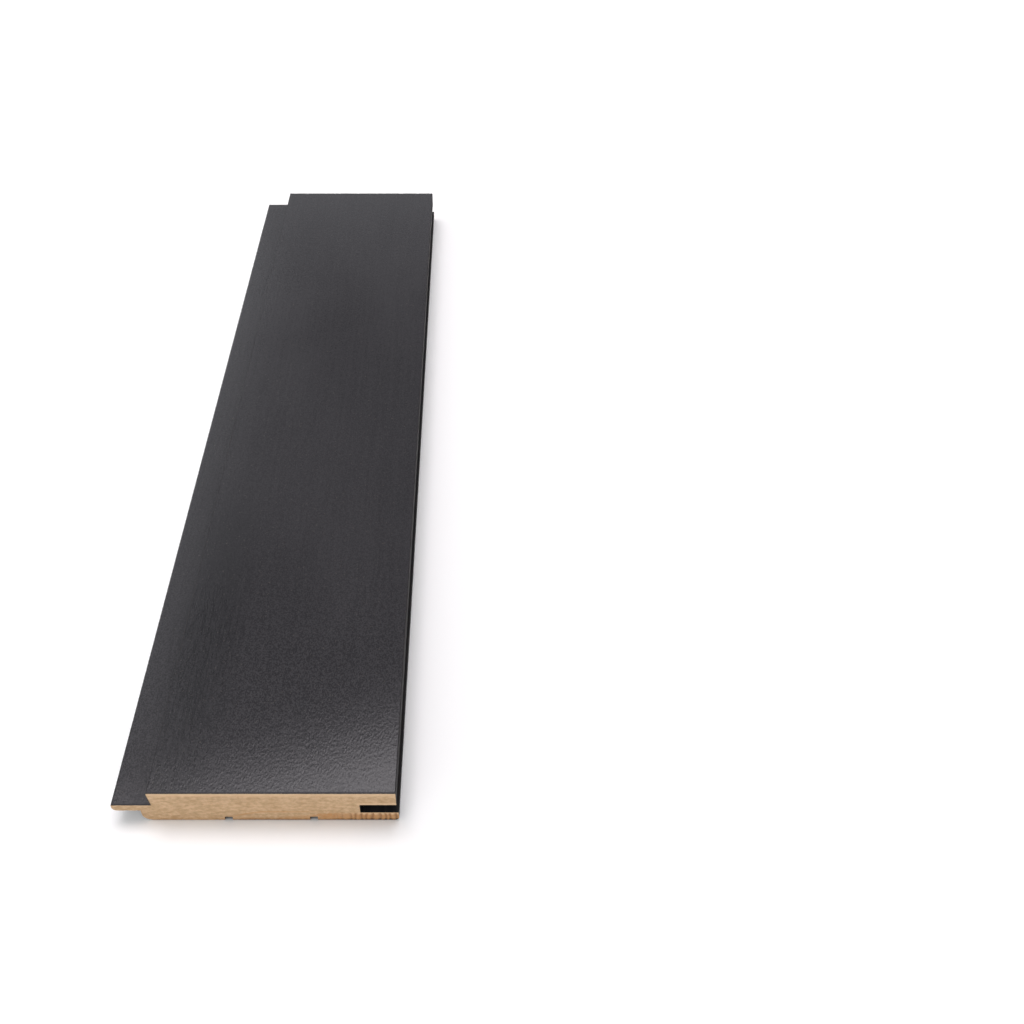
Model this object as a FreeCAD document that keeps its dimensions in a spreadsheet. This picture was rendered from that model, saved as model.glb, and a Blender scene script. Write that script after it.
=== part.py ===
import FreeCAD, Part
import os
import Sketcher

# Driving sizes in millimetres: name, value, what it measures
SIZES = [
    ("board_length", 381.0, "cut length along the grain"),
    ("thickness", 15.9, "back to face"),
    ("face_width", 79.4, "face between its two long edges"),
    ("tongue_reach", 12.7, "tongue past the edge of the face"),
    ("reveal_gap", 3.7, "shoulder under the tongue past the edge of the face"),
    ("tongue_drop", 6.9, "face down to the top of the tongue"),
    ("tongue_thickness", 3.2, "tongue from top to underside"),
    ("clearance_above", 0.2, "groove over the top of a tongue"),
    ("clearance_below", 1.2, "groove under the underside of a tongue"),
    ("clearance_end", 3.4, "groove past the nose of a tongue"),
    ("lip_extra", 0.5, "lower lip of the groove past the edge of the face"),
    ("kerf_count", 2, "relief kerfs in the back"),
    ("kerf_width", 2.5, "one relief kerf across"),
    ("kerf_depth", 2.0, "one relief kerf into the back"),
    ("nose_radius", 1.5, "lower corner of the tongue's nose"),
    ("shoulder_radius", 3.2, "back corner under the tongue"),
    ("lip_radius", 1.5, "back corner under the groove"),
    ("arris_radius", 0.4, "eased long edges of the face and the tongue"),
]

doc = FreeCAD.newDocument("tongue_and_groove_board")
sheet = doc.addObject("Spreadsheet::Sheet", "sizes")
for row, (alias, value, meaning) in enumerate(SIZES, start=1):
    sheet.set(f"A{row}", meaning)
    sheet.set(f"B{row}", str(value))
    sheet.setAlias(f"B{row}", alias)
doc.recompute()

# Section levels: X from the tongue's nose towards the groove, Z up from the back
face_left = "sizes.tongue_reach"
face_right = "(sizes.tongue_reach + sizes.face_width)"
lip_right = f"({face_right} + sizes.lip_extra)"
shoulder_left = "(sizes.tongue_reach - sizes.reveal_gap)"
tongue_top = "(sizes.thickness - sizes.tongue_drop)"
tongue_base = "(sizes.thickness - sizes.tongue_drop - sizes.tongue_thickness)"
groove_top = f"({tongue_top} + sizes.clearance_above)"
groove_base = f"({tongue_base} - sizes.clearance_below)"
groove_left = f"({lip_right} - {shoulder_left} - sizes.clearance_end)"
kerf_pitch = f"(({lip_right} - {shoulder_left}) / (sizes.kerf_count + 1))"
kerf_centre = f"({shoulder_left} + {kerf_pitch})"

board = doc.addObject("PartDesign::Body", "board")
board.Label = "board"
section_plane = next(item for item in board.Origin.OriginFeatures if item.Role == "XZ_Plane")


def length_value(expression):
    """Present value of an expression, in millimetres."""
    return float(sheet.evalExpression(expression.replace("sizes.", "")))


def section_rectangle(name, left, right, low, high):
    """Sketch of a rectangle across the board, each side held by an expression."""
    sketch = board.newObject("Sketcher::SketchObject", name)
    sketch.AttachmentSupport = (section_plane, [""])
    sketch.MapMode = "FlatFace"
    lower_left = FreeCAD.Vector(length_value(left), length_value(low))
    lower_right = FreeCAD.Vector(length_value(right), length_value(low))
    upper_right = FreeCAD.Vector(length_value(right), length_value(high))
    upper_left = FreeCAD.Vector(length_value(left), length_value(high))
    corners = [lower_left, lower_right, upper_right, upper_left]
    for side, start in enumerate(corners):
        sketch.addGeometry(Part.LineSegment(start, corners[(side + 1) % len(corners)]))
    bottom, right_side, top, left_side = range(len(corners))
    start_point, end_point = 1, 2
    for side in range(len(corners)):
        following = (side + 1) % len(corners)
        sketch.addConstraint(Sketcher.Constraint("Coincident", side, end_point, following, start_point))
    for side in (bottom, top):
        sketch.addConstraint(Sketcher.Constraint("Horizontal", side))
    for side in (right_side, left_side):
        sketch.addConstraint(Sketcher.Constraint("Vertical", side))
    held = [
        ("left", "DistanceX", bottom, left),
        ("low", "DistanceY", bottom, low),
        ("right", "DistanceX", top, right),
        ("high", "DistanceY", top, high),
    ]
    origin = (-1, 1)
    for label, kind, side, expression in held:
        distance = Sketcher.Constraint(kind, *origin, side, start_point, length_value(expression))
        index = sketch.addConstraint(distance)
        sketch.renameConstraint(index, label)
        sketch.setExpression(f"Constraints.{label}", expression)
    doc.recompute()
    return sketch


def run_through(name, sketch):
    """Cut of one rectangle along the whole board."""
    cut = board.newObject("PartDesign::Pocket", name)
    cut.Profile = sketch
    cut.SideType = "Symmetric"
    cut.Type = "ThroughAll"
    doc.recompute()
    return cut


def long_edge(feature, x, z):
    """Name of the edge that runs along the board at one point of the section."""
    middle = FreeCAD.Vector(length_value(x), 0, length_value(z))
    tolerance = 0.001
    for number, edge in enumerate(feature.Shape.Edges, start=1):
        if edge.CenterOfMass.distanceToPoint(middle) < tolerance:
            return f"Edge{number}"
    raise RuntimeError(f"no long edge at {x}, {z}")


def ease(name, radius, points):
    """Round over the long edges at the given points of the section."""
    base = board.Tip
    fillet = board.newObject("PartDesign::Fillet", name)
    fillet.Base = (base, [long_edge(base, x, z) for x, z in points])
    fillet.setExpression("Radius", radius)
    doc.recompute()
    return fillet


# Blank, full width from the tongue's nose to the lower lip
blank_section = section_rectangle("blank_section", "0", lip_right, "0", "sizes.thickness")
blank = board.newObject("PartDesign::Pad", "blank")
blank.Profile = blank_section
blank.SideType = "Symmetric"
blank.setExpression("Length", "sizes.board_length")
doc.recompute()

# Tongue, left between a rebate in the face and a shorter rebate in the back
face_rebate = section_rectangle("face_rebate_section", "0", face_left, tongue_top, "sizes.thickness")
run_through("face_rebate", face_rebate)
back_rebate = section_rectangle("back_rebate_section", "0", shoulder_left, "0", tongue_base)
run_through("back_rebate", back_rebate)

# Groove, taking the tongue of the next board with its clearances, under a shorter upper lip
groove_section = section_rectangle("groove_section", groove_left, lip_right, groove_base, groove_top)
run_through("groove", groove_section)
edge_trim = section_rectangle("edge_trim_section", face_right, lip_right, groove_top, "sizes.thickness")
run_through("edge_trim", edge_trim)

# Relief kerfs, evenly spread over the back
kerf_left = f"({kerf_centre} - sizes.kerf_width / 2)"
kerf_right = f"({kerf_centre} + sizes.kerf_width / 2)"
kerf_section = section_rectangle("kerf_section", kerf_left, kerf_right, "0", "sizes.kerf_depth")
kerf = run_through("relief_kerf", kerf_section)
kerfs = board.newObject("PartDesign::LinearPattern", "relief_kerfs")
kerfs.Originals = [kerf]
kerfs.Direction = (kerf_section, ["H_Axis"])
kerfs.Mode = "Spacing"
kerfs.setExpression("Offset", kerf_pitch)
kerfs.setExpression("Occurrences", "sizes.kerf_count")
board.Tip = kerfs
doc.recompute()

# Rounded corners, each held within the wall it runs along
ease("nose_round", "min(sizes.nose_radius; sizes.tongue_thickness / 2)", [("0", tongue_base)])
ease("shoulder_round", f"min(sizes.shoulder_radius; {tongue_base} * 2 / 3)", [(shoulder_left, "0")])
ease("lip_round", f"min(sizes.lip_radius; {groove_base} / 2)", [(lip_right, "0")])
ease(
    "eased_arrises",
    "min(sizes.arris_radius; sizes.tongue_thickness / 4)",
    [("0", tongue_top), (face_left, "sizes.thickness"), (face_right, "sizes.thickness")],
)

# Resting place: back on the ground, middle of the overall width on the origin
board.setExpression("Placement.Base.x", f"-{lip_right} / 2")
doc.recompute()

for item in doc.Objects:
    if "Invalid" in item.State or "Error" in item.State:
        raise RuntimeError(f"{item.Label}: {item.State}")
if board.Shape.isNull() or not board.Shape.isValid() or len(board.Shape.Solids) != 1:
    raise RuntimeError("the board is not one valid solid")

os.makedirs("parts", exist_ok=True)
board.Shape.exportStep(f"parts/{board.Label}.step")
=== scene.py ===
import bpy
import math
import numpy as np
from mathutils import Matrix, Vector
from mathutils.geometry import delaunay_2d_cdt


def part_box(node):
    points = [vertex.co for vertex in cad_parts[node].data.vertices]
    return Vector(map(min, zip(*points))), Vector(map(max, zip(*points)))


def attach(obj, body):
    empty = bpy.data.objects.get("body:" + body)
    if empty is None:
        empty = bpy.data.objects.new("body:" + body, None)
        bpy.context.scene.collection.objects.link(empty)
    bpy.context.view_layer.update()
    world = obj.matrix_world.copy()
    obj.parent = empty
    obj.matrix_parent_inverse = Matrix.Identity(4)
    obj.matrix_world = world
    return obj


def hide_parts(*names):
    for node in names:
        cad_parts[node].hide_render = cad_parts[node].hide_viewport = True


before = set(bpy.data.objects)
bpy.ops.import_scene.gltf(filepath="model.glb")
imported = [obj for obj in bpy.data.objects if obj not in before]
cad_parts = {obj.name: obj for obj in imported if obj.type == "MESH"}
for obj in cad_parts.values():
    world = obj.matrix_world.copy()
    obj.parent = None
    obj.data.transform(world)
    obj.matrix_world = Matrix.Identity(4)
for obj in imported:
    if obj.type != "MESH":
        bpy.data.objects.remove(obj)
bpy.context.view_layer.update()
scene = bpy.context.scene
mm = 0.001
patternRange = (0.3, 0.7)       # nearly all of a noise pattern lies between these
patternMiddle = 0.5
print("frame loaded, nodes:", ", ".join(sorted(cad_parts)))


def addNode(tree, kind, inputs=None, **settings):
    node = tree.nodes.new(kind)
    for key, value in settings.items():
        setattr(node, key, value)
    for socket, value in (inputs or {}).items():
        if isinstance(value, bpy.types.NodeSocket):
            tree.links.new(value, node.inputs[socket])
        else:
            node.inputs[socket].default_value = value
    return node


def nodeOut(tree, kind, inputs=None, **settings):
    return addNode(tree, kind, inputs, **settings).outputs[0]


def splitAxes(tree, vector):
    return addNode(tree, "ShaderNodeSeparateXYZ", {"Vector": vector}).outputs


def calc(tree, operation, *values):
    return nodeOut(tree, "ShaderNodeMath", dict(enumerate(values)), operation=operation)


def product(tree, first, *others):
    for other in others:
        first = calc(tree, "MULTIPLY", first, other)
    return first


# soft step: from one value to another, then the two strengths it gives
def fade(tree, value, start, end, first=0.0, last=1.0):
    limits = {"Value": value, "From Min": start, "From Max": end, "To Min": first, "To Max": last}
    return nodeOut(tree, "ShaderNodeMapRange", limits, interpolation_type="SMOOTHSTEP")


# camera, standing where the photo was taken from
cameraView = {
    "place": (0.07325, -0.3778, 0.3259),
    "lookDown": 45.46,          # degrees under the horizon
    "lens": 39.03,              # millimetres, like the sensor
    "sensor": 36.0,
    "shift": (0.0296, 0.0172),
    "nearest": 0.01,            # what is closer isn't drawn
}
cameraData = bpy.data.cameras.new("photoCamera")
cameraData.type = "PERSP"
cameraData.sensor_width = cameraView["sensor"]
cameraData.lens = cameraView["lens"]
cameraData.shift_x, cameraData.shift_y = cameraView["shift"]
cameraData.clip_start = cameraView["nearest"]
photoCamera = bpy.data.objects.new("photoCamera", cameraData)
photoCamera.location = cameraView["place"]
photoCamera.rotation_euler = (math.radians(90 - cameraView["lookDown"]), 0, 0)
scene.collection.objects.link(photoCamera)
scene.camera = photoCamera
print("camera set")

# the board, lengths in millimetres
boardSizes = {
    "tongueReach": 12.7,
    "revealGap": 3.7,
    "tongueDrop": 6.9,
    "tongueThickness": 3.2,
    "clearanceAbove": 0.2,
    "clearanceBelow": 1.2,
    "clearanceEnd": 3.4,
    "lipExtra": 0.5,
    "kerfCount": 2,
    "kerfWidth": 2.5,
    "kerfDepth": 2.0,
    "noseRadius": 1.5,
    "shoulderRadius": 3.2,
    "lipRadius": 1.5,
    "arrisRadius": 0.2,         # long edges of the face and the tongue, hardly eased
    "crispRadius": 0.12,        # edges that the cutter leaves nearly sharp
    "outlineStep": 0.6,         # points round the section
    "bendStep": 0.42,           # points round a corner
    "fewestBends": 4,
    "endStep": 0.36,            # points over a sawn end
    "endStray": 0.18,           # how far they stray, in steps
    "endMargin": 0.6,           # how far they keep from the outline, in steps
    "stations": 120,            # rings of points along the length, closer near the ends
    "chipDepth": 0.10,          # paint and fibre lost along the sawn edges
    "chipReach": 0.45,
    "chipSpread": (0.5, 0.72),  # where in their pattern the chips start and are full
    "tearDepth": 0.38,          # fibre torn out of the lower lip by the saw
    "lipTear": (0.2, 1.0),      # from nothing to full, down from the groove
    "edgeTear": (2.2, 0.2),     # the same, down to the back
    "tearSide": (-12.0, 3.0),   # the same, past the back of the groove
    "strayTear": 0.05,          # share of it left before that
    "edgeShare": 0.7,           # share of it along the bottom edge
    "beadPitch": 1.9,           # torn beads along the lower lip
    "beadDrift": 2.2,           # how far they wander, in beads
    "sawRipple": 0.07,
    "grainRelief": 0.006,       # grain standing through the paint
    "crispBend": 38,            # degrees past which an edge stays sharp
    "faceBend": 8,              # the same round the face, which stays flat up to its arrises
    "faceSlack": 0.012,         # how far under the face its rim reaches
    "tongueSlack": 0.5,         # and the top of the tongue, under its own level
    "kerfSlack": 0.1,           # how far over the kerfs the back's paint reaches
    "seamGap": 0.005,           # points closer than this are joined
    "seed": 7,
    "chipPattern": {"scale": 800, "detail": 2.0, "stretch": (1, 0.5, 1), "shift": 0.0},
    "grainPattern": {"scale": 420, "detail": 2.0, "stretch": (1, 0.03, 1), "shift": 3.1},
    "beadPattern": {"scale": 240, "detail": 1.0, "stretch": (1, 0.2, 0.5), "shift": 5.7},
    "sawPattern": {"scale": 260, "detail": 3.0, "stretch": (1, 1, 0.35), "shift": 8.2},
}


def size(name):
    return boardSizes[name] * mm


def span(name):
    return [length * mm for length in boardSizes[name]]


def sectionLevels(low, high):
    level = {"nose": low.x, "lip": high.x, "back": low.z, "face": high.z, "near": low.y, "far": high.y}
    level["faceLeft"] = low.x + size("tongueReach")
    level["faceRight"] = high.x - size("lipExtra")
    level["shoulder"] = level["faceLeft"] - size("revealGap")
    level["tongueTop"] = high.z - size("tongueDrop")
    level["tongueBase"] = level["tongueTop"] - size("tongueThickness")
    level["grooveTop"] = level["tongueTop"] + size("clearanceAbove")
    level["grooveBase"] = level["tongueBase"] - size("clearanceBelow")
    level["grooveBack"] = high.x - (level["shoulder"] - low.x) - size("clearanceEnd")
    level["kerfTop"] = low.z + size("kerfDepth")
    level["backLeft"] = level["shoulder"] + size("shoulderRadius")
    level["backRight"] = high.x - size("lipRadius")
    return level


# corners of the section, each with its radius, round from the shoulder under the tongue
def sectionCorners(level):
    crisp = size("crispRadius")
    arris = size("arrisRadius")
    corners = [(level["shoulder"], level["back"], size("shoulderRadius"))]
    pitch = (level["lip"] - level["shoulder"]) / (boardSizes["kerfCount"] + 1)
    for kerf in range(boardSizes["kerfCount"]):
        middle = level["shoulder"] + pitch * (kerf + 1)
        kerfLeft = middle - size("kerfWidth") / 2
        kerfRight = middle + size("kerfWidth") / 2
        corners += [(kerfLeft, level["back"], crisp), (kerfLeft, level["kerfTop"], 0)]
        corners += [(kerfRight, level["kerfTop"], 0), (kerfRight, level["back"], crisp)]
    corners += [
        (level["lip"], level["back"], size("lipRadius")),
        (level["lip"], level["grooveBase"], crisp),
        (level["grooveBack"], level["grooveBase"], 0),
        (level["grooveBack"], level["grooveTop"], 0),
        (level["faceRight"], level["grooveTop"], crisp),
        (level["faceRight"], level["face"], arris),
        (level["faceLeft"], level["face"], arris),
        (level["faceLeft"], level["tongueTop"], 0),
        (level["nose"], level["tongueTop"], arris),
        (level["nose"], level["tongueBase"], size("noseRadius")),
        (level["shoulder"], level["tongueBase"], 0),
    ]
    return corners


def roundedOutline(corners, step):
    places = [Vector((x, z)) for x, z, radius in corners]
    quarter = math.pi / 2
    softened = []
    for number, (x, z, radius) in enumerate(corners):
        here = places[number]
        if radius == 0:
            softened.append(here)
            continue
        back = (places[number - 1] - here).normalized()
        ahead = (places[(number + 1) % len(places)] - here).normalized()
        centre = here + (back + ahead) * radius
        bends = max(boardSizes["fewestBends"], round(radius * quarter / size("bendStep")))
        for bend in range(bends + 1):
            turn = quarter * bend / bends
            softened.append(centre - (ahead * math.cos(turn) + back * math.sin(turn)) * radius)
    outline = []
    for number, here in enumerate(softened):
        following = softened[(number + 1) % len(softened)]
        parts = max(1, round((following - here).length / step))
        outline += [here.lerp(following, part / parts) for part in range(parts)]
    return outline


# the section filled with a loose grid of points, so that the sawn ends can be roughened
def sectionMesh(outline, step, seed):
    line = np.array([tuple(point) for point in outline])
    ahead = np.roll(line, -1, axis=0)
    lowest, highest = line.min(0), line.max(0)
    rows = np.arange(lowest[1], highest[1], step * math.sqrt(3) / 2)
    columns = np.arange(lowest[0], highest[0], step)
    grid = np.array([(x + step / 2 * (row % 2), z) for row, z in enumerate(rows) for x in columns])
    stray = boardSizes["endStray"]
    grid += np.random.default_rng(seed).uniform(-stray, stray, grid.shape) * step

    # points inside the outline, by how often a line to the right of each crosses it
    crossing = (line[None, :, 1] > grid[:, None, 1]) != (ahead[None, :, 1] > grid[:, None, 1])
    flattest = 1e-12
    rise = ahead[:, 1] - line[:, 1]
    rise = np.where(np.abs(rise) < flattest, flattest, rise)
    reach = line[:, 0] + (grid[:, None, 1] - line[None, :, 1]) / rise * (ahead[:, 0] - line[:, 0])
    inside = (np.logical_and(crossing, grid[:, None, 0] < reach).sum(1) % 2) == 1

    # and clear of it
    run = ahead - line
    share = ((grid[:, None, :] - line) * run).sum(2) / (run * run).sum(1)
    nearest = line + np.clip(share, 0, 1)[:, :, None] * run
    margin = step * boardSizes["endMargin"]
    clear = np.linalg.norm(grid[:, None, :] - nearest, axis=2).min(1) > margin

    points = outline + [Vector(place) for place in grid[inside & clear]]
    around = list(range(len(outline)))
    border = [(number, (number + 1) % len(outline)) for number in around]
    insideOnly, closest = 1, 1e-9
    filled = delaunay_2d_cdt(points, border, [around], insideOnly, closest)
    mesh = bpy.data.meshes.new("boardSection")
    mesh.from_pydata([(point.x, 0, point.y) for point in filled[0]], [], filled[2])
    return mesh


def boardRunTree():
    tree = bpy.data.node_groups.new("boardRun", "GeometryNodeTree")
    tree.is_modifier = True
    wanted = {
        "Geometry": ["Section"],
        "Int": ["Stations"],
        "Float": [
            "Length", "Chip Depth", "Tear Depth", "Bead Pitch", "Saw Ripple", "Grain Relief", "Seed",
            "Face Top", "Tongue Top", "Groove Base", "Groove Back", "Kerf Top", "Back Left", "Back Right",
        ],
        "Material": ["Face Paint", "Edge Paint", "Back Paint", "Sawn End"],
    }
    for kind, names in wanted.items():
        for name in names:
            tree.interface.new_socket(name=name, in_out="INPUT", socket_type="NodeSocket" + kind)
    tree.interface.new_socket(name="Board", in_out="OUTPUT", socket_type="NodeSocketGeometry")
    given = addNode(tree, "NodeGroupInput").outputs

    # path along the length, its stations drawn together towards both ends
    halfLength = calc(tree, "MULTIPLY", given["Length"], 0.5)
    lastStation = calc(tree, "SUBTRACT", given["Stations"], 1)
    index = nodeOut(tree, "GeometryNodeInputIndex")
    swing = calc(tree, "MULTIPLY_ADD", calc(tree, "DIVIDE", index, lastStation), math.pi, -math.pi / 2)
    along = calc(tree, "MULTIPLY", calc(tree, "SINE", swing), halfLength)
    stationPlace = nodeOut(tree, "ShaderNodeCombineXYZ", {"Y": along})
    stations = nodeOut(tree, "GeometryNodeMeshLine", {"Count": given["Stations"]}, mode="OFFSET")
    placed = nodeOut(tree, "GeometryNodeSetPosition", {"Geometry": stations, "Position": stationPlace})
    path = nodeOut(tree, "GeometryNodeMeshToCurve", {"Mesh": placed})
    upright = nodeOut(tree, "GeometryNodeSetCurveNormal", {"Curve": path}, mode="Z_UP")

    # the section's border, swept along the path
    sides = nodeOut(tree, "GeometryNodeInputMeshEdgeNeighbors")
    onBorder = calc(tree, "COMPARE", sides, 1.0, 0.5)     # edges with one facet only
    border = nodeOut(tree, "GeometryNodeMeshToCurve", {"Mesh": given["Section"], "Selection": onBorder})
    layFlat = (math.pi / 2, 0, 0)
    turned = nodeOut(tree, "GeometryNodeTransform", {"Geometry": border, "Rotation": layFlat})
    swept = nodeOut(tree, "GeometryNodeCurveToMesh", {"Curve": upright, "Profile Curve": turned})
    walls = nodeOut(tree, "GeometryNodeFlipFaces", {"Mesh": swept})

    # a sawn end on each side
    ends = addNode(tree, "GeometryNodeJoinGeometry")
    for way in (-1, 1):
        endPlace = nodeOut(tree, "ShaderNodeCombineXYZ", {"Y": calc(tree, "MULTIPLY", halfLength, way)})
        moves = {"Geometry": given["Section"], "Translation": endPlace}
        end = nodeOut(tree, "GeometryNodeTransform", moves)
        if way > 0:
            end = nodeOut(tree, "GeometryNodeFlipFaces", {"Mesh": end})
        tree.links.new(end, ends.inputs[0])
    mark = {"Geometry": ends.outputs[0], "Name": "sawnEnd", "Value": 1.0}
    marked = nodeOut(tree, "GeometryNodeStoreNamedAttribute", mark, data_type="FLOAT", domain="FACE")
    whole = addNode(tree, "GeometryNodeJoinGeometry")
    tree.links.new(walls, whole.inputs[0])
    tree.links.new(marked, whole.inputs[0])
    seams = {"Geometry": whole.outputs[0], "Distance": size("seamGap")}
    merged = nodeOut(tree, "GeometryNodeMergeByDistance", seams)

    # chips, torn fibre, saw ripple and grain, all cut inwards
    place = nodeOut(tree, "GeometryNodeInputPosition")
    axes = splitAxes(tree, place)
    normal = nodeOut(tree, "GeometryNodeInputNormal")
    onEnd = nodeOut(tree, "GeometryNodeInputNamedAttribute", {"Name": "sawnEnd"}, data_type="FLOAT")
    partly, wholly = 0.01, 0.98     # share of a point's facets that lie on a sawn end
    touchesEnd = calc(tree, "GREATER_THAN", onEnd, partly)
    onWall = calc(tree, "LESS_THAN", onEnd, wholly)
    fromEnd = calc(tree, "SUBTRACT", halfLength, calc(tree, "ABSOLUTE", axes["Y"]))

    def noise(scale, detail, stretch, shift):
        scaled = nodeOut(tree, "ShaderNodeVectorMath", {0: place, 1: stretch}, operation="MULTIPLY")
        turn = calc(tree, "ADD", given["Seed"], shift)
        inputs = {"Vector": scaled, "W": turn, "Scale": scale, "Detail": detail}
        return nodeOut(tree, "ShaderNodeTexNoise", inputs, noise_dimensions="4D")

    chipNoise = fade(tree, noise(**boardSizes["chipPattern"]), *boardSizes["chipSpread"])
    chip = product(tree, chipNoise, fade(tree, fromEnd, size("chipReach"), 0.0), onWall)
    grain = product(tree, noise(**boardSizes["grainPattern"]), onWall)
    chipSunk = product(tree, chip, given["Chip Depth"])
    grainSunk = product(tree, grain, given["Grain Relief"])
    outwards = product(tree, calc(tree, "ADD", chipSunk, grainSunk), -1.0)
    inwards = nodeOut(tree, "ShaderNodeVectorMath", {0: normal, "Scale": outwards}, operation="SCALE")

    underGroove = calc(tree, "SUBTRACT", given["Groove Base"], axes["Z"])
    lowLip = fade(tree, underGroove, *span("lipTear"))
    pastGroove = calc(tree, "SUBTRACT", axes["X"], given["Groove Back"])
    lipSide = fade(tree, pastGroove, *span("tearSide"), boardSizes["strayTear"], 1.0)
    lowEdge = fade(tree, axes["Z"], *span("edgeTear"), 0.0, boardSizes["edgeShare"])
    drift = noise(**boardSizes["beadPattern"])
    evenly = calc(tree, "DIVIDE", axes["X"], given["Bead Pitch"])
    bead = calc(tree, "MULTIPLY_ADD", drift, boardSizes["beadDrift"], evenly)
    crown = calc(tree, "ABSOLUTE", calc(tree, "SINE", product(tree, bead, math.pi)))
    between = fade(tree, crown, 1.0, 0.0)
    tear = product(tree, calc(tree, "MAXIMUM", lowLip, lowEdge), lipSide, between)
    ripple = product(tree, noise(**boardSizes["sawPattern"]), given["Saw Ripple"])
    cutBack = calc(tree, "MULTIPLY_ADD", tear, given["Tear Depth"], ripple)
    towardsMiddle = product(tree, calc(tree, "SIGN", axes["Y"]), -1.0)
    shortening = product(tree, cutBack, touchesEnd, towardsMiddle)
    shortened = nodeOut(tree, "ShaderNodeCombineXYZ", {"Y": shortening})
    moved = nodeOut(tree, "ShaderNodeVectorMath", {0: inwards, 1: shortened}, operation="ADD")
    worn = merged
    for name, amount in (("chipped", chip), ("torn", tear)):
        inputs = {"Geometry": worn, "Name": name, "Value": amount}
        worn = nodeOut(tree, "GeometryNodeStoreNamedAttribute", inputs, data_type="FLOAT", domain="POINT")
    worn = nodeOut(tree, "GeometryNodeSetPosition", {"Geometry": worn, "Offset": moved})

    # smooth runs, crisp edges, and the face flat right up to its arrises
    rounded = {"Geometry": worn, "Shade Smooth": True}
    smooth = nodeOut(tree, "GeometryNodeSetShadeSmooth", rounded, domain="FACE")
    edgeAngle = nodeOut(tree, "GeometryNodeInputMeshEdgeAngle")
    rimLine = calc(tree, "SUBTRACT", given["Face Top"], size("faceSlack"))
    faceRim = calc(tree, "GREATER_THAN", axes["Z"], rimLine)
    bent = calc(tree, "GREATER_THAN", edgeAngle, math.radians(boardSizes["faceBend"]))
    folded = calc(tree, "GREATER_THAN", edgeAngle, math.radians(boardSizes["crispBend"]))
    sharp = calc(tree, "MAXIMUM", folded, product(tree, faceRim, bent))
    edged = {"Geometry": smooth, "Selection": sharp, "Shade Smooth": False}
    crisp = nodeOut(tree, "GeometryNodeSetShadeSmooth", edged, domain="EDGE")

    # finishes: edge paint all over, then the face and the tongue's top, the back and the two ends
    facing = splitAxes(tree, normal)["Z"]
    straightUp = 0.985
    tongueLine = calc(tree, "SUBTRACT", given["Tongue Top"], size("tongueSlack"))
    aboveTongue = calc(tree, "GREATER_THAN", axes["Z"], tongueLine)
    onFace = product(tree, aboveTongue, calc(tree, "GREATER_THAN", facing, straightUp))
    kerfLine = calc(tree, "ADD", given["Kerf Top"], size("kerfSlack"))
    belowKerf = calc(tree, "LESS_THAN", axes["Z"], kerfLine)
    pastShoulder = calc(tree, "GREATER_THAN", axes["X"], given["Back Left"])
    beforeLip = calc(tree, "LESS_THAN", axes["X"], given["Back Right"])
    onBack = product(tree, belowKerf, pastShoulder, beforeLip)
    finished = nodeOut(tree, "GeometryNodeRealizeInstances", {"Geometry": crisp})
    coats = [(True, "Edge Paint"), (onFace, "Face Paint"), (onBack, "Back Paint"), (onEnd, "Sawn End")]
    for where, coat in coats:
        inputs = {"Geometry": finished, "Selection": where, "Material": given[coat]}
        finished = nodeOut(tree, "GeometryNodeSetMaterial", inputs)
    addNode(tree, "NodeGroupOutput", {"Board": finished})
    return tree


def newFinish(name):
    finish = bpy.data.materials.new(name)
    finish.use_nodes = True
    shader = finish.node_tree.nodes["Principled BSDF"]
    place = addNode(finish.node_tree, "ShaderNodeTexCoord").outputs["Object"]
    return finish, finish.node_tree, shader, place


def texture(tree, place, scale, stretch=(1, 1, 1), detail=2.0, shift=(0, 0, 0), twist=0.0):
    mapped = nodeOut(tree, "ShaderNodeMapping", {"Vector": place, "Scale": stretch, "Location": shift})
    inputs = {"Vector": mapped, "Scale": scale, "Detail": detail, "Distortion": twist}
    return nodeOut(tree, "ShaderNodeTexNoise", inputs)


def blend(tree, share, first, second):
    mixed = addNode(tree, "ShaderNodeMix", data_type="RGBA")
    shareSocket, firstSocket, secondSocket = [mixed.inputs[number] for number in (0, 6, 7)]
    for socket, value in ((shareSocket, share), (firstSocket, first), (secondSocket, second)):
        if isinstance(value, bpy.types.NodeSocket):
            tree.links.new(value, socket)
        elif isinstance(value, tuple):
            socket.default_value = (*value, 1.0)
        else:
            socket.default_value = value
    return mixed.outputs[2]


def relief(tree, height, depth, before=None):
    bump = addNode(tree, "ShaderNodeBump", {"Height": height, "Distance": depth})
    if before is not None:
        tree.links.new(before, bump.inputs["Normal"])
    return bump.outputs[0]


# the wood under the paint and on the sawn ends
woodLook = {
    "pale": (0.70, 0.488, 0.287),
    "deep": (0.51, 0.330, 0.176),
    "scorched": (0.60, 0.310, 0.122),     # fibre torn and rubbed by the saw
    "beadShade": (0.35, 0.180, 0.080),        # painted shade between the torn beads and under them
    "contactShade": (0.16, 0.085, 0.045),      # painted contact shade along the bottom edge
    "crushed": (0.80, 0.560, 0.335),      # thin edges, lighter
    "darkWedge": (0.012, 0.010, 0.012),       # near black, in the corner of the end above the tongue
    "heart": (12 * mm, -96 * mm),         # middle of the tree, under the back
    "ringWidth": 2.3 * mm,
    "ringWander": 9 * mm,
    "ringEdge": 2.2,                      # how sharply each ring ends
    "wander": {"scale": 26, "stretch": (1, 0.14, 1)},
}


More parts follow.
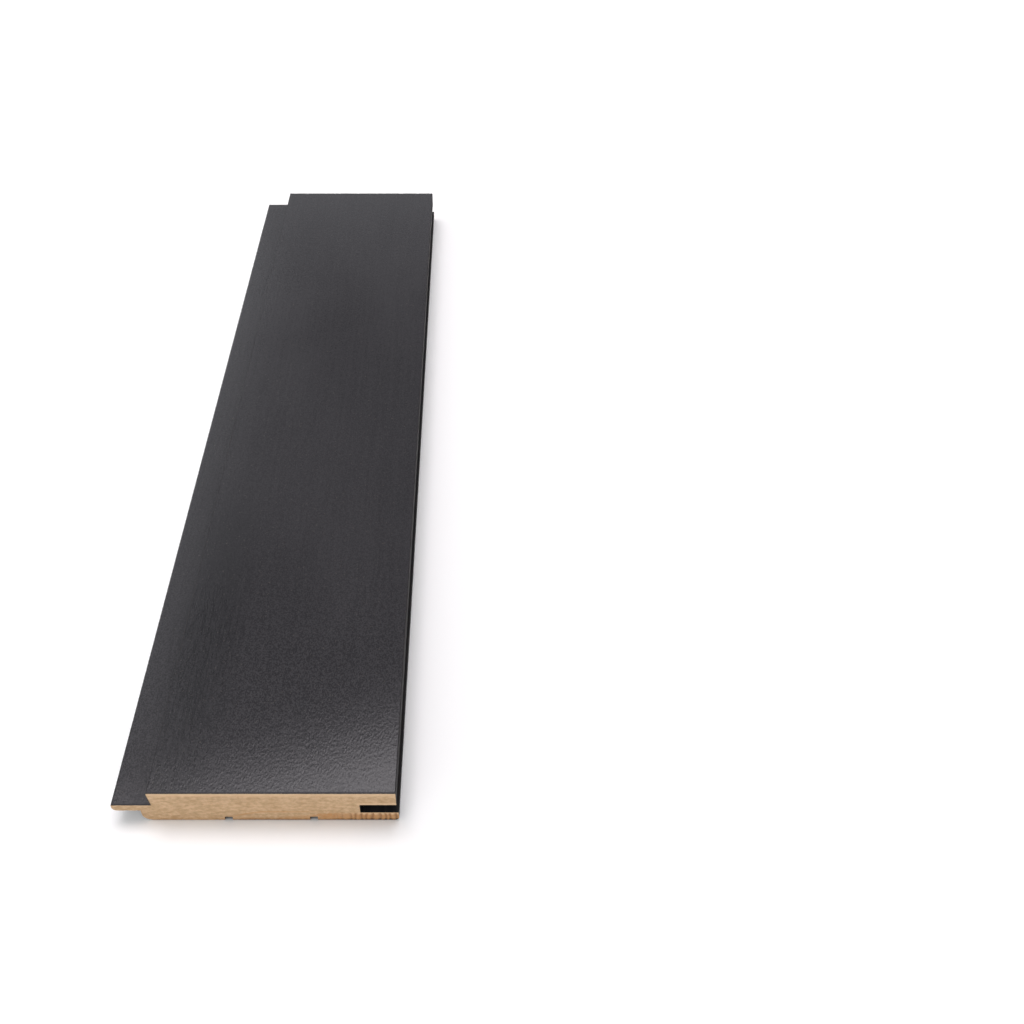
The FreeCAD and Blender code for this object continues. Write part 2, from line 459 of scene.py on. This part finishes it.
def growthRings(tree, place):
    wander = texture(tree, place, **woodLook["wander"])
    axes = splitAxes(tree, place)
    across = calc(tree, "SUBTRACT", axes["X"], woodLook["heart"][0])
    up = calc(tree, "SUBTRACT", axes["Z"], woodLook["heart"][1])
    reach = calc(tree, "SQRT", calc(tree, "ADD", product(tree, across, across), product(tree, up, up)))
    reach = calc(tree, "MULTIPLY_ADD", wander, woodLook["ringWander"], reach)
    turn = calc(tree, "FRACT", calc(tree, "DIVIDE", reach, woodLook["ringWidth"]))
    return calc(tree, "POWER", turn, woodLook["ringEdge"])


# satin black on the face and the top of the tongue
def facePaint(level):
    look = {
        "coat": (0.0118, 0.0104, 0.0127),
        "thin": (0.0342, 0.0318, 0.0353),      # over open grain
        "rubbedAndShaded": (0.0060, 0.0052, 0.0068),    # rubbed marks by the near end of the tongue side, and painted shade there and along the saw cuts
        "dust": (0.0700, 0.0620, 0.0560),
        "roughness": 0.15,
        "cutRoughness": 0.50,                  # broken gloss beside the saw cut
        "ior": 1.36,
        "grainRelief": 0.002 * mm,
        "peelRelief": 0.034 * mm,
        "markDepth": 0.004 * mm,
        "grain": {"scale": 900, "stretch": (1, 0.03, 1), "detail": 3.0},
        "cloud": {"scale": 22, "stretch": (1, 0.5, 1), "detail": 3.0, "shift": (0.3, 0.1, 0.2)},
        "peel": {"scale": 1500, "stretch": (1.2, 0.5, 1)},
        "speck": {"scale": 1300, "stretch": (1, 0.8, 1), "shift": (0.9, 0.3, 0.5)},
        "mark": {"scale": 620, "stretch": (1, 0.09, 1), "shift": (0.5, 0.2, 0.1), "twist": 0.2},
        "pigment": {"scale": 2300, "stretch": (1, 0.75, 1), "shift": (0.1, 0.6, 0.4)},
        "openGrain": (0.35, 0.7, 0.0, 0.12),
        "clouded": (0.35, 0.7, 0.0, 0.15),
        "grit": (0.36, 0.64, -0.65, 0.65),
        "evenShare": 0.37,                     # of the thin coat, all over
        "dusty": (0.66, 0.75, 0.0, 0.55),
        "chipped": (0.66, 0.82),
        "peelAtChips": 0.25,
        "markWidth": (0.085, 0.0),
        "markStrength": 0.8,
        "unevenGloss": (-0.02, 0.03),
        "coarse": (120 * mm, 0.0, 0.34, 1.0),            # from the near end
        "markStart": (0.0, 25 * mm, 0.7, 1.0),
        "markEnd": (110 * mm, 65 * mm),
        # darker patch by the near end beside the tongue, partly rubbed and partly painted shade
        "worn": (160 * mm, 110 * mm, 0.0, 0.45),
        "rubbedSide": (26 * mm, 8 * mm),                 # from the step above the tongue
        "offTongue": (-11 * mm, 6 * mm),
        "cutEdgeShade": (0.9 * mm, 0.4 * mm, 0.0, 0.8),       # painted shade, from either saw cut
        "cutGloss": (1.1 * mm, 0.5 * mm),
    }
    finish, tree, shader, place = newFinish("satinFacePaint")
    axes = splitAxes(tree, place)
    names = ("grain", "cloud", "peel", "speck", "mark", "pigment")
    grain, cloud, peel, speck, mark, pigment = [texture(tree, place, **look[name]) for name in names]
    fromNear = calc(tree, "SUBTRACT", axes["Y"], level["near"])
    fromStep = calc(tree, "SUBTRACT", axes["X"], level["faceLeft"])
    fromCut = calc(tree, "SUBTRACT", level["far"], calc(tree, "ABSOLUTE", axes["Y"]))

    # thin over the grain and in clouds, grittier towards the near end
    share = calc(tree, "ADD", fade(tree, grain, *look["openGrain"]), fade(tree, cloud, *look["clouded"]))
    grit = product(tree, fade(tree, pigment, *look["grit"]), fade(tree, fromNear, *look["coarse"]))
    share = calc(tree, "ADD", share, calc(tree, "ADD", grit, look["evenShare"]))
    colour = blend(tree, share, look["coat"], look["thin"])

    # darker beside the tongue by the near end, partly rubbed and partly painted shade for its duller
    # sheen, with long fine marks
    besideTongue = fade(tree, fromStep, *look["rubbedSide"])
    rubbedSide = product(tree, besideTongue, fade(tree, fromStep, *look["offTongue"]))
    worn = product(tree, rubbedSide, fade(tree, fromNear, *look["worn"]))
    colour = blend(tree, worn, colour, look["rubbedAndShaded"])
    markStart = fade(tree, fromNear, *look["markStart"])
    markRun = product(tree, markStart, fade(tree, fromNear, *look["markEnd"]))
    offLine = calc(tree, "ABSOLUTE", calc(tree, "SUBTRACT", mark, patternMiddle))
    rubbedLine = product(tree, fade(tree, offLine, *look["markWidth"]), rubbedSide, markRun)
    colour = blend(tree, product(tree, rubbedLine, look["markStrength"]), colour, look["rubbedAndShaded"])

    # dust, the dark line along the saw cut as painted shade where the sheen breaks off, and chips down to
    # the wood
    colour = blend(tree, fade(tree, speck, *look["dusty"]), colour, look["dust"])
    colour = blend(tree, fade(tree, fromCut, *look["cutEdgeShade"]), colour, look["rubbedAndShaded"])
    chip = addNode(tree, "ShaderNodeAttribute", attribute_name="chipped").outputs["Fac"]
    lost = fade(tree, calc(tree, "MULTIPLY_ADD", peel, look["peelAtChips"], chip), *look["chipped"])
    colour = blend(tree, lost, colour, woodLook["pale"])
    tree.links.new(colour, shader.inputs["Base Color"])

    gloss = fade(tree, fromCut, *look["cutGloss"], look["roughness"], look["cutRoughness"])
    gloss = calc(tree, "ADD", gloss, fade(tree, cloud, *patternRange, *look["unevenGloss"]))
    tree.links.new(gloss, shader.inputs["Roughness"])
    shader.inputs["IOR"].default_value = look["ior"]
    normal = relief(tree, grain, look["grainRelief"])
    normal = relief(tree, peel, look["peelRelief"], normal)
    normal = relief(tree, rubbedLine, -look["markDepth"], normal)
    tree.links.new(normal, shader.inputs["Normal"])
    return finish


# thinner, dull coat in the groove and down the edges
def edgePaint():
    look = {
        "coat": (0.011, 0.0105, 0.0115),
        "thin": (0.026, 0.023, 0.022),
        "roughness": (0.63, 0.76),
        "ior": 1.24,
        "grainRelief": 0.05 * mm,
        "grain": {"scale": 1000, "stretch": (1, 0.035, 1), "detail": 3.0},
        "cloud": {"scale": 160, "stretch": (1, 0.2, 1), "detail": 3.0},
        "openGrain": (0.4, 0.7, 0.0, 0.6),
        "clouded": (0.4, 0.7, 0.0, 0.4),
    }
    finish, tree, shader, place = newFinish("dullEdgePaint")
    grain = texture(tree, place, **look["grain"])
    cloud = texture(tree, place, **look["cloud"])
    share = calc(tree, "ADD", fade(tree, grain, *look["openGrain"]), fade(tree, cloud, *look["clouded"]))
    tree.links.new(blend(tree, share, look["coat"], look["thin"]), shader.inputs["Base Color"])
    tree.links.new(fade(tree, cloud, *patternRange, *look["roughness"]), shader.inputs["Roughness"])
    shader.inputs["IOR"].default_value = look["ior"]
    tree.links.new(relief(tree, grain, look["grainRelief"]), shader.inputs["Normal"])
    return finish


# one thin coat on the planed back, the wood's grain showing through
def backPaint():
    look = {
        "coat": (0.014, 0.0132, 0.0135),
        "stained": (0.046, 0.034, 0.026),
        "kerf": (0.26, 0.165, 0.095),              # hardly any paint inside the kerfs
        "roughness": (0.52, 0.64),
        "ior": 1.40,
        "chatterRelief": 0.02 * mm,
        "fibreRelief": 0.04 * mm,
        "fibre": {"scale": 1400, "stretch": (1, 0.02, 1), "detail": 3.0},
        "cloud": {"scale": 60, "stretch": (1, 0.25, 1), "detail": 3.0},
        "chatter": {"scale": 330, "stretch": (0.03, 1, 1), "detail": 1.0},
        "ringShare": 0.35,
        "clouded": (0.35, 0.75, 0.0, 0.35),
        "fibred": (0.45, 0.72, 0.0, 0.3),
        "inKerf": (0.15 * mm, 0.7 * mm, 0.0, 0.9),   # up from the back
    }
    finish, tree, shader, place = newFinish("thinBackPaint")
    axes = splitAxes(tree, place)
    rings = growthRings(tree, place)
    names = ("fibre", "cloud", "chatter")
    fibre, cloud, chatter = [texture(tree, place, **look[name]) for name in names]
    share = calc(tree, "MULTIPLY_ADD", rings, look["ringShare"], fade(tree, cloud, *look["clouded"]))
    share = calc(tree, "ADD", share, fade(tree, fibre, *look["fibred"]))
    colour = blend(tree, share, look["coat"], look["stained"])
    colour = blend(tree, fade(tree, axes["Z"], *look["inKerf"]), colour, look["kerf"])
    tree.links.new(colour, shader.inputs["Base Color"])
    tree.links.new(fade(tree, fibre, *patternRange, *look["roughness"]), shader.inputs["Roughness"])
    shader.inputs["IOR"].default_value = look["ior"]
    normal = relief(tree, chatter, look["chatterRelief"])
    normal = relief(tree, fibre, look["fibreRelief"], normal)
    tree.links.new(normal, shader.inputs["Normal"])
    return finish


# bare wood where the saw went through
def sawnEnd(level):
    look = {
        "roughness": (0.68, 0.82),
        "sawRelief": 0.04 * mm,
        "poreRelief": 0.05 * mm,
        "mottle": {"scale": 760, "stretch": (0.85, 1, 1), "detail": 3.0},
        "patch": {"scale": 190, "stretch": (1, 1, 0.8), "shift": (0.4, 0.1, 0.7)},
        "pores": {"scale": 2200, "stretch": (1, 0.3, 1)},
        "fibre": {"scale": 1200, "stretch": (0.8, 1, 1), "shift": (0.7, 0.2, 0.3)},
        "saw": {"scale": 900, "stretch": (1, 1, 0.06), "shift": (0.2, 0, 0.5)},
        "ringTone": 0.42,
        "mottleTone": (0.34, 0.66, 0.06, 0.58),
        "patchTone": (0.35, 0.7, -0.05, 0.2),
        "fibreTone": (0.34, 0.66, -0.2, 0.2),
        "poreTone": (0.56, 0.74, 0.0, 0.4),
        "faceRim": (-2.6 * mm, -0.2 * mm, 0.0, 0.8),     # from the face
        "grooveRim": (1.6 * mm, 0.5 * mm),               # from the top of the groove
        "upperLip": (-2 * mm, 1 * mm, 0.0, 0.8),         # from the back of the groove
        "bandWaver": -2.4 * mm,
        "bandClimb": (4 * mm, 26 * mm, -0.4 * mm, 1.9 * mm),
        "band": (1.6 * mm, 0.2 * mm),
        "bandSide": (4 * mm, 24 * mm, 0.25, 0.95),
        "bandBroken": (0.38, 0.60, 0.55, 1.0),
        "fineWaver": -0.9 * mm,
        "ringHeight": (-14 * mm, 4 * mm, 1.2 * mm, 5.1 * mm),
        "ringDrop": 0.45 * mm,
        "ringLine": (0.6 * mm, 0.1 * mm),
        "ringStart": (-12 * mm, -6 * mm),
        "ringFinish": (26 * mm, 8 * mm, 0.0, 0.6),
        "underLip": (0.4 * mm, -0.8 * mm),               # from the base of the groove
        "lipReach": (-6 * mm, 2 * mm),                   # from the back of the groove
        "lipScorch": 0.5,
        "beadTop": (-1.9 * mm, -0.6 * mm, 0.0, 0.85),
        "tornDark": 0.9,
        # browner towards the bottom edge, partly painted shade
        "bottom": (0.25 * mm, -0.45 * mm),
        "bottomSide": (-14 * mm, -6 * mm, 0.15, 0.8),
        "bottomBrownAndShade": 0.75,
        # painted shade under the torn beads, down the lower lip
        "bottomLip": (1.8 * mm, 0.6 * mm, 0.0, 0.35),
        # a thin line of painted contact shade along the bottom edge
        "contactLine": (0.35 * mm, 0.05 * mm),
        "contactShadeSide": (-14 * mm, -4 * mm, 0.1, 0.6),
        "wedgeReach": 0.50 * mm,                           # past the step, at the tongue
        "wedgeEdge": (0.12 * mm, -0.12 * mm),
        "overTongue": (-0.2 * mm, 0.1 * mm),
        "wedgeStrength": 0.95,
    }
    finish, tree, shader, place = newFinish("bareSawnEnd")
    axes = splitAxes(tree, place)
    rings = growthRings(tree, place)
    names = ("mottle", "patch", "pores", "fibre", "saw")
    mottle, patch, pores, fibre, saw = [texture(tree, place, **look[name]) for name in names]
    tone = calc(tree, "MULTIPLY_ADD", rings, look["ringTone"], fade(tree, mottle, *look["mottleTone"]))
    tone = calc(tree, "ADD", tone, fade(tree, patch, *look["patchTone"]))
    tone = calc(tree, "ADD", tone, fade(tree, fibre, *look["fibreTone"]))
    colour = blend(tree, tone, woodLook["pale"], woodLook["deep"])
    colour = blend(tree, fade(tree, pores, *look["poreTone"]), colour, woodLook["scorched"])

    # lighter rims under the face and over the groove
    aboveFace = calc(tree, "SUBTRACT", axes["Z"], level["face"])
    offGroove = calc(tree, "ABSOLUTE", calc(tree, "SUBTRACT", axes["Z"], level["grooveTop"]))
    pastGroove = calc(tree, "SUBTRACT", axes["X"], level["grooveBack"])
    upperLip = fade(tree, pastGroove, *look["upperLip"])
    grooveRim = product(tree, fade(tree, offGroove, *look["grooveRim"]), upperLip)
    rim = calc(tree, "MAXIMUM", fade(tree, aboveFace, *look["faceRim"]), grooveRim)
    colour = blend(tree, rim, colour, woodLook["crushed"])

    # rubbed brown along the bottom, climbing towards the lower lip
    height = calc(tree, "MULTIPLY_ADD", mottle, look["bandWaver"], axes["Z"])
    climb = fade(tree, axes["X"], *look["bandClimb"])
    band = fade(tree, calc(tree, "SUBTRACT", height, climb), *look["band"])
    bandSide = fade(tree, axes["X"], *look["bandSide"])
    band = product(tree, band, bandSide, fade(tree, fibre, *look["bandBroken"]))
    colour = blend(tree, band, colour, woodLook["scorched"])

    # one brown ring line, rising from the first kerf
    fineHeight = calc(tree, "MULTIPLY_ADD", mottle, look["fineWaver"], axes["Z"])
    offRing = calc(tree, "SUBTRACT", fineHeight, fade(tree, axes["X"], *look["ringHeight"]))
    offRing = calc(tree, "ABSOLUTE", calc(tree, "ADD", offRing, look["ringDrop"]))
    ringStart = fade(tree, axes["X"], *look["ringStart"])
    ringFinish = fade(tree, axes["X"], *look["ringFinish"])
    ringLine = product(tree, fade(tree, offRing, *look["ringLine"]), ringStart, ringFinish)
    colour = blend(tree, ringLine, colour, woodLook["scorched"])

    # lower lip: pale bead tops, and painted shade between the beads
    aboveBase = calc(tree, "SUBTRACT", axes["Z"], level["grooveBase"])
    underLip = fade(tree, aboveBase, *look["underLip"])
    onLowerLip = product(tree, underLip, fade(tree, pastGroove, *look["lipReach"]))
    colour = blend(tree, product(tree, onLowerLip, look["lipScorch"]), colour, woodLook["scorched"])
    beadTop = product(tree, fade(tree, aboveBase, *look["beadTop"]), onLowerLip)
    colour = blend(tree, beadTop, colour, woodLook["crushed"])
    torn = addNode(tree, "ShaderNodeAttribute", attribute_name="torn").outputs["Fac"]
    # painted shade in the torn hollows between the beads
    colour = blend(tree, product(tree, torn, look["tornDark"]), colour, woodLook["beadShade"])

    # browner towards the bottom edge, partly painted shade there; painted shade under the beads, and a
    # thin line of painted contact shade along the edge
    bottomSide = product(tree, fade(tree, axes["X"], *look["bottomSide"]), look["bottomBrownAndShade"])
    bottom = product(tree, fade(tree, height, *look["bottom"]), bottomSide)
    colour = blend(tree, bottom, colour, woodLook["scorched"])
    bottomLip = product(tree, fade(tree, axes["Z"], *look["bottomLip"]), onLowerLip)
    colour = blend(tree, bottomLip, colour, woodLook["beadShade"])
    contactShadeSide = fade(tree, axes["X"], *look["contactShadeSide"])
    contactLine = product(tree, fade(tree, fineHeight, *look["contactLine"]), contactShadeSide)
    colour = blend(tree, contactLine, colour, woodLook["contactShade"])

    # a near-black wedge on the end in the corner above the tongue
    fromStep = calc(tree, "SUBTRACT", axes["X"], level["faceLeft"])
    slope = look["wedgeReach"] / (level["face"] - level["tongueTop"])
    pastWedge = calc(tree, "MULTIPLY_ADD", aboveFace, slope, fromStep)
    aboveTongue = calc(tree, "SUBTRACT", axes["Z"], level["tongueTop"])
    wedgeSide = product(tree, fade(tree, aboveTongue, *look["overTongue"]), look["wedgeStrength"])
    darkWedge = product(tree, fade(tree, pastWedge, *look["wedgeEdge"]), wedgeSide)
    colour = blend(tree, darkWedge, colour, woodLook["darkWedge"])
    tree.links.new(colour, shader.inputs["Base Color"])
    tree.links.new(fade(tree, mottle, *patternRange, *look["roughness"]), shader.inputs["Roughness"])
    normal = relief(tree, saw, look["sawRelief"])
    normal = relief(tree, pores, look["poreRelief"], normal)
    tree.links.new(normal, shader.inputs["Normal"])
    return finish


def makeBoard(low, high, level):
    outline = roundedOutline(sectionCorners(level), size("outlineStep"))
    section = sectionMesh(outline, size("endStep"), boardSizes["seed"])
    board = bpy.data.objects.new("paintedBoard", section)
    scene.collection.objects.link(board)
    tree = boardRunTree()
    run = board.modifiers.new("boardRun", "NODES")
    run.node_group = tree
    values = {
        "Length": high.y - low.y,
        "Stations": boardSizes["stations"],
        "Chip Depth": size("chipDepth"),
        "Tear Depth": size("tearDepth"),
        "Bead Pitch": size("beadPitch"),
        "Saw Ripple": size("sawRipple"),
        "Grain Relief": size("grainRelief"),
        "Seed": float(boardSizes["seed"]),
        "Face Top": level["face"],
        "Tongue Top": level["tongueTop"],
        "Groove Base": level["grooveBase"],
        "Groove Back": level["grooveBack"],
        "Kerf Top": level["kerfTop"],
        "Back Left": level["backLeft"],
        "Back Right": level["backRight"],
        "Face Paint": facePaint(level),
        "Edge Paint": edgePaint(),
        "Back Paint": backPaint(),
        "Sawn End": sawnEnd(level),
    }
    for item in tree.interface.items_tree:
        if item.in_out == "INPUT" and item.name in values:
            run[item.identifier] = values[item.name]
    depsgraph = bpy.context.evaluated_depsgraph_get()
    finished = bpy.data.meshes.new_from_object(
        board.evaluated_get(depsgraph), preserve_all_data_layers=True, depsgraph=depsgraph
    )
    board.modifiers.remove(run)
    board.data = finished
    finished.name = "paintedBoard"
    return board


low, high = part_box("board")
level = sectionLevels(low, high)
board = makeBoard(low, high, level)
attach(board, "root")
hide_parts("board")
board.data.calc_loop_triangles()
print("board made, triangles:", len(board.data.loop_triangles))


# share of rays that look straight at the set or mirror it
def seenRays(tree):
    ray = addNode(tree, "ShaderNodeLightPath").outputs
    mirrored = calc(tree, "MAXIMUM", ray["Is Glossy Ray"], ray["Is Transmission Ray"])
    return calc(tree, "MAXIMUM", ray["Is Camera Ray"], mirrored)


# floor, white to the camera and still shaded by the board
def makeFloor(level):
    look = {
        "size": 12.0,
        "drop": 0.05 * mm,
        "colour": (0.92, 0.92, 0.92),
        "under": (0.4, 0.4, 0.4),              # out of the light under the board
        "inShade": (-0.1 * mm, -1.3 * mm),     # outwards from the foot of the board
        "lift": (-0.6 * mm, 1.0 * mm, 0.0, 0.10),
        "farLift": (0.45, 1.1),                # from the middle of the floor
    }
    half = look["size"] / 2
    corners = [(-half, -half), (half, -half), (half, half), (-half, half)]
    mesh = bpy.data.meshes.new("studioFloor")
    mesh.from_pydata([(x, y, -look["drop"]) for x, y in corners], [], [(0, 1, 2, 3)])
    floor = bpy.data.objects.new("studioFloor", mesh)
    scene.collection.objects.link(floor)
    finish = bpy.data.materials.new("palePaper")
    finish.use_nodes = True
    paper = finish.node_tree
    paper.nodes.clear()
    place = addNode(paper, "ShaderNodeTexCoord").outputs["Object"]
    axes = splitAxes(paper, place)
    pastShoulder = calc(paper, "SUBTRACT", level["backLeft"], axes["X"])
    pastLip = calc(paper, "SUBTRACT", axes["X"], level["backRight"])
    pastEnd = calc(paper, "SUBTRACT", calc(paper, "ABSOLUTE", axes["Y"]), level["far"])
    past = calc(paper, "MAXIMUM", calc(paper, "MAXIMUM", pastShoulder, pastLip), pastEnd)
    away = addNode(paper, "ShaderNodeVectorMath", {0: place}, operation="LENGTH").outputs["Value"]
    lift = calc(paper, "ADD", fade(paper, past, *look["lift"]), fade(paper, away, *look["farLift"]))
    colour = blend(paper, fade(paper, past, *look["inShade"]), look["colour"], look["under"])
    matt = nodeOut(paper, "ShaderNodeBsdfDiffuse", {"Color": colour})
    glow = nodeOut(paper, "ShaderNodeEmission", {"Strength": product(paper, seenRays(paper), lift)})
    lit = nodeOut(paper, "ShaderNodeAddShader", {0: matt, 1: glow})
    addNode(paper, "ShaderNodeOutputMaterial", {"Surface": lit})
    floor.data.materials.append(finish)
    return floor


floor = makeFloor(level)


# an even white room, seen and mirrored as a backdrop, a dimmer gap above it and a ceiling
def lightRoom():
    look = {
        "light": 0.45,
        "backdrop": 1.05,
        "gap": 0.47,
        "ceiling": 0.66,
        "backdropTop": (0.455, 0.54),      # how far up, as a share of straight up
        "ceilingStart": (0.54, 0.64),
        "coolStart": (0.25, 0.40),
        "cool": (0.93, 0.955, 1.0),
    }
    world = bpy.data.worlds.new("whiteRoom")
    scene.world = world
    world.use_nodes = True
    room = world.node_tree
    room.nodes.clear()
    towards = addNode(room, "ShaderNodeTexCoord").outputs["Generated"]
    rise = splitAxes(room, towards)["Z"]
    seen = fade(room, rise, *look["backdropTop"], look["backdrop"], look["gap"])
    ceilingGain = look["ceiling"] - look["gap"]
    seen = calc(room, "ADD", seen, fade(room, rise, *look["ceilingStart"], 0.0, ceilingGain))
    strength = fade(room, seenRays(room), 0.0, 1.0, look["light"], seen)
    cool = product(room, seenRays(room), fade(room, rise, *look["coolStart"]))
    tint = blend(room, cool, (1.0, 1.0, 1.0), look["cool"])
    sky = nodeOut(room, "ShaderNodeBackground", {"Color": tint, "Strength": strength})
    addNode(room, "ShaderNodeOutputWorld", {"Surface": sky})


lightRoom()

# a softbox overhead, a panel to the left, and weak fills in front and from the left
lamps = {
    "overheadSoftbox": {
        "place": (-0.201, 0.571, 2.2),
        "turn": (0, 0, 19.4),
        "size": (1.5, 1.3),
        "power": 34.0,
        "colour": (1.0, 0.955, 0.99),
    },
    "leftPanel": {
        "place": (-1.23, 2.6, 2.2),
        "turn": (0, 0, 0),
        "size": (0.8, 2.6),
        "power": 8.5,
        "colour": (0.94, 0.965, 1.0),
    },
    "frontFill": {
        "place": (-0.75, -1.25, 0.7),
        "turn": (64, 0, -31),
        "size": (1.2, 0.8),
        "power": 3.7,
    },
    "leftFill": {
        "place": (-1.2, 0.14, 0.35),
        "turn": (0, -74, 0),
        "size": (0.5, 0.6),
        "power": 3.4,
        "mirrored": False,      # lights the shadow under the tongue, out of the face's sheen
    },
}
for name, lamp in lamps.items():
    lampData = bpy.data.lights.new(name, "AREA")
    lampData.shape = "RECTANGLE"
    lampData.size, lampData.size_y = lamp["size"]
    lampData.energy = lamp["power"]
    lampData.color = lamp.get("colour", (1.0, 1.0, 1.0))
    lampObject = bpy.data.objects.new(name, lampData)
    lampObject.location = lamp["place"]
    lampObject.rotation_euler = [math.radians(turn) for turn in lamp["turn"]]
    lampObject.visible_camera = False
    lampObject.visible_glossy = lamp.get("mirrored", True)
    scene.collection.objects.link(lampObject)
scene.view_settings.view_transform = "Standard"
print("floor and lights set")
